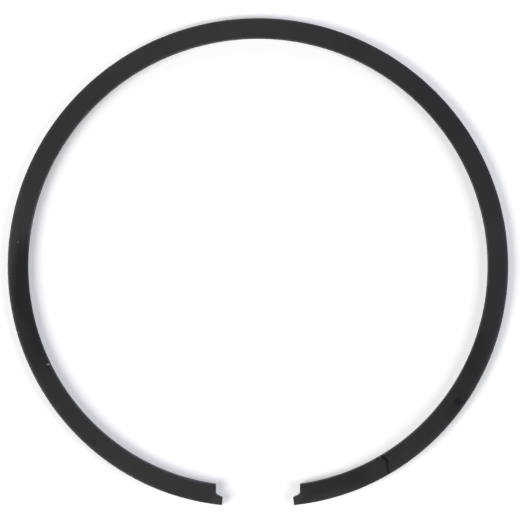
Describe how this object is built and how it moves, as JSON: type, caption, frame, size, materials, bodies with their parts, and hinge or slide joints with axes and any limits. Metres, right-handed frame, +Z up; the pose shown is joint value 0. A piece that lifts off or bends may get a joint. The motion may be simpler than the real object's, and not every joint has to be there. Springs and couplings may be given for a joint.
{
  "type": "piston ring",
  "caption": "Split piston ring of rectangular section, sprung open, with a locating-pin notch on the inside of each end.",
  "frame": {"origin": "under the middle of the ring's outline, on the surface that it lies on", "axes": "+Z up, along the axis of the cylinder that the ring is made for; +Y towards the back of the ring; -Y towards its two ends; +X along the widest part of the free ring"},
  "size_m": [0.0496, 0.0482, 0.0015],
  "materials": {
    "phosphated_iron": "satin"
  },
  "bodies": {
    "root": {"piston_ring": "phosphated_iron"}
  },
  "joints": []
}
